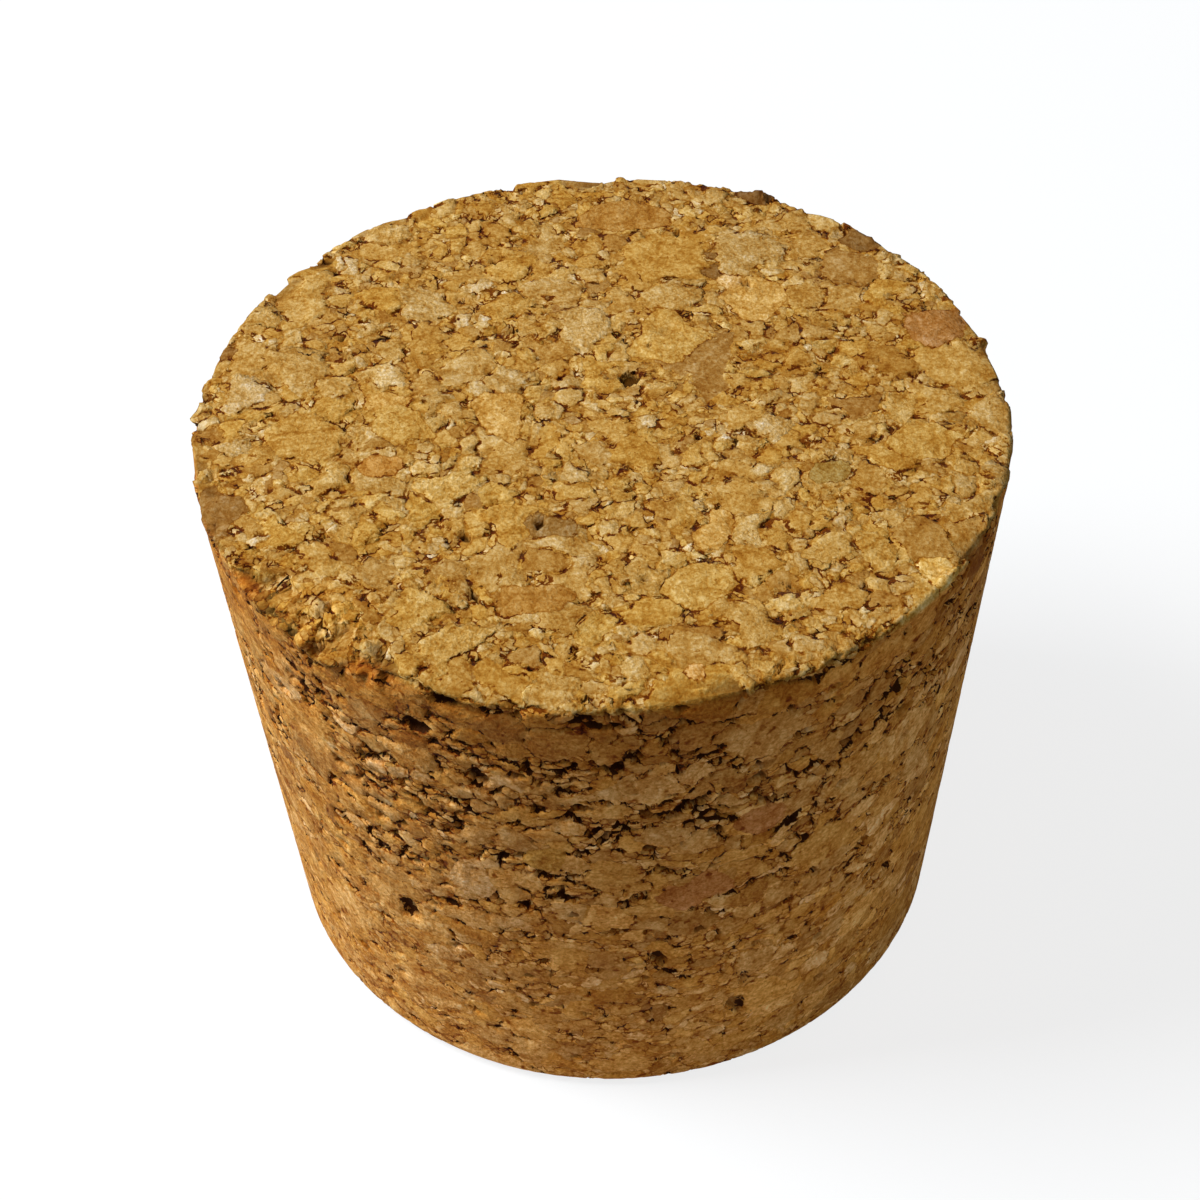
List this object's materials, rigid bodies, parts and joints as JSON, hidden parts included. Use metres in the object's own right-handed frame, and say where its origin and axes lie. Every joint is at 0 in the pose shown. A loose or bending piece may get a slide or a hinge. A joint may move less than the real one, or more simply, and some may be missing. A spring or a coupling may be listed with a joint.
{
  "type": "cork stopper",
  "caption": "Tapered agglomerated cork plug, wide end up, with open voids between its granules and one crumbled corner on the wide rim.",
  "frame": {"origin": "centre of the narrow end, which the stopper stands on", "axes": "+Z along the axis from the narrow end to the wide end; the crumbled corner is between -X and -Y"},
  "size_m": [0.0502, 0.05, 0.0395],
  "materials": {
    "cork": "ground agglomerated cork, matt and dry"
  },
  "bodies": {
    "root": {"cork_stopper": "cork"}
  },
  "joints": []
}
